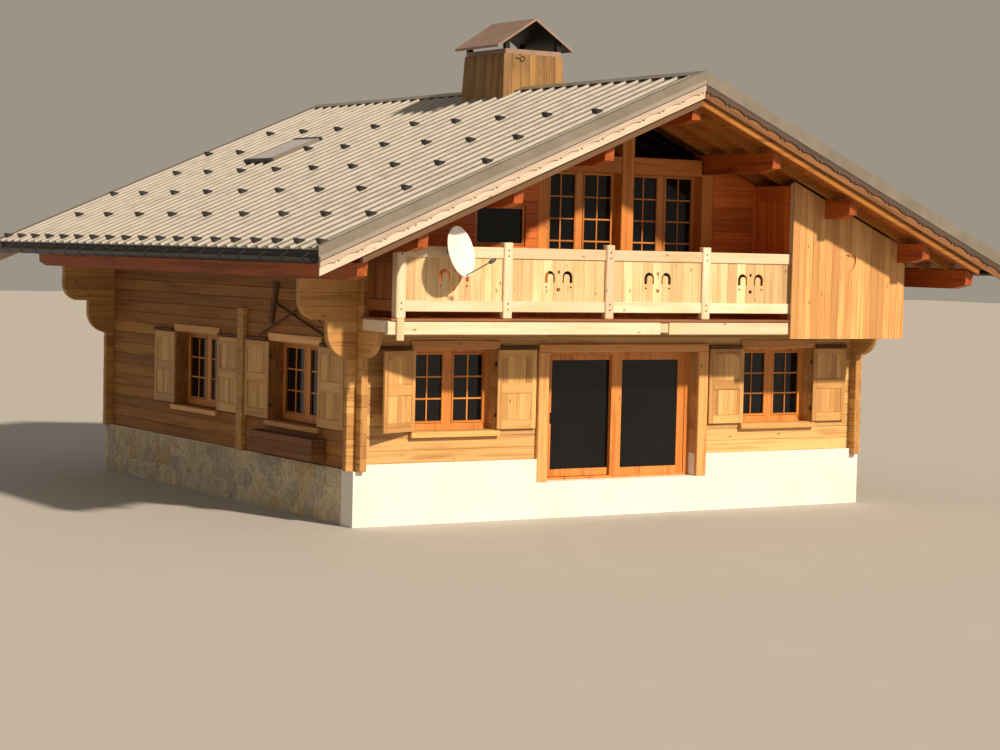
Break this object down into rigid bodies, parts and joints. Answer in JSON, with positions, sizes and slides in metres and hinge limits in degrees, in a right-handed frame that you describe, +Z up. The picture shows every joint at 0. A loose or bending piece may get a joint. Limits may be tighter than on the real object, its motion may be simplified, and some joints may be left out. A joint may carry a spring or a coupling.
{
  "type": "alpine chalet",
  "caption": "Timber chalet with crossed log corners, a purlin roof in ribbed metal, a fretwork balcony, hinged shutters and a sliding patio door.",
  "frame": {"origin": "middle of the roof's footprint, on the lowest ground that the plinth reaches", "axes": "+Z up, garden front faces -Y, the ridge runs along Y, +X to the right seen from the front"},
  "size_m": [14.02, 13.308, 8.5281],
  "materials": {
    "render": "rough render",
    "stone_facing": "rubble stone",
    "floor_boards": "oiled",
    "log_ends": "oiled",
    "framing": "oiled",
    "log_wall": "oiled",
    "joinery": "varnished",
    "panes": "clear",
    "iron": "black",
    "shutters": "oiled",
    "balcony_wood": "weathered",
    "roof_metal": "matt",
    "flashing_metal": "matt",
    "grey_boards": "weathered",
    "dark_metal": "matt",
    "cap_metal": "matt",
    "white_paint": "satin",
    "old_wood": "dry"
  },
  "bodies": {
    "house": {"plinth_front": "render", "plinth_stone": "stone_facing", "ground_floor": "floor_boards", "upper_floor": "floor_boards", "wall_front_left": "log_wall", "wall_front_right": "log_wall", "wall_front_head": "log_wall", "wall_left": "log_wall", "wall_right": "log_wall", "wall_back": "log_wall", "log_corners": "log_ends", "gable_frame": "framing", "gable_boards": "log_wall", "windows_low": "joinery", "glass_low": "panes", "windows_up": "joinery", "glass_up": "panes", "window_trims": "joinery", "patio_frame": "joinery", "pintles": "iron", "shutters_hidden_sides": "shutters", "balcony_beams": "balcony_wood", "balcony_boards": "balcony_wood", "balcony_posts": "balcony_wood", "balcony_rails": "balcony_wood", "balcony_panels": "balcony_wood", "balcony_room": "balcony_wood", "balcony_room_door": "log_wall", "purlins": "framing", "rafters": "framing", "roof_deck": "framing", "roof_sheet_left": "roof_metal", "roof_sheet_right": "roof_metal", "roof_flashings": "flashing_metal", "bargeboards": "grey_boards", "gutters": "dark_metal", "snow_guards": "dark_metal", "skylight": "dark_metal", "chimney": "grey_boards", "chimney_cap": "cap_metal", "dish": "white_paint", "flower_box": "joinery", "hay_tools": "old_wood"},
    "patio_leaf": {"patio_leaf": "joinery", "patio_leaf_glass": "panes"},
    "shutter_1": {"shutter_1": "shutters"},
    "shutter_2": {"shutter_2": "shutters"},
    "shutter_3": {"shutter_3": "shutters"},
    "shutter_4": {"shutter_4": "shutters"},
    "shutter_5": {"shutter_5": "shutters"},
    "shutter_6": {"shutter_6": "shutters"}
  },
  "joints": [
    {"name": "patio_door_slide", "type": "slide", "parent": "house", "child": "patio_leaf", "axis": [1, 0, 0], "range_m": [0, 1.3]},
    {"name": "shutter_1_hinge", "type": "hinge", "parent": "house", "child": "shutter_1", "pos_m": [-4.052, -4.5945, 2.13], "axis": [0, 0, 1], "range_deg": [-20, 160]},
    {"name": "shutter_2_hinge", "type": "hinge", "parent": "house", "child": "shutter_2", "pos_m": [-2.528, -4.5945, 2.13], "axis": [0, 0, 1], "range_deg": [-180, 0]},
    {"name": "shutter_3_hinge", "type": "hinge", "parent": "house", "child": "shutter_3", "pos_m": [2.528, -4.5945, 2.13], "axis": [0, 0, 1], "range_deg": [0, 180]},
    {"name": "shutter_4_hinge", "type": "hinge", "parent": "house", "child": "shutter_4", "pos_m": [4.052, -4.5945, 2.13], "axis": [0, 0, 1], "range_deg": [-180, 0]},
    {"name": "shutter_5_hinge", "type": "hinge", "parent": "house", "child": "shutter_5", "pos_m": [-5.0945, -1.608, 2.13], "axis": [0, 0, 1], "range_deg": [0, 180]},
    {"name": "shutter_6_hinge", "type": "hinge", "parent": "house", "child": "shutter_6", "pos_m": [-5.0945, -3.372, 2.13], "axis": [0, 0, 1], "range_deg": [-180, 0]}
  ]
}
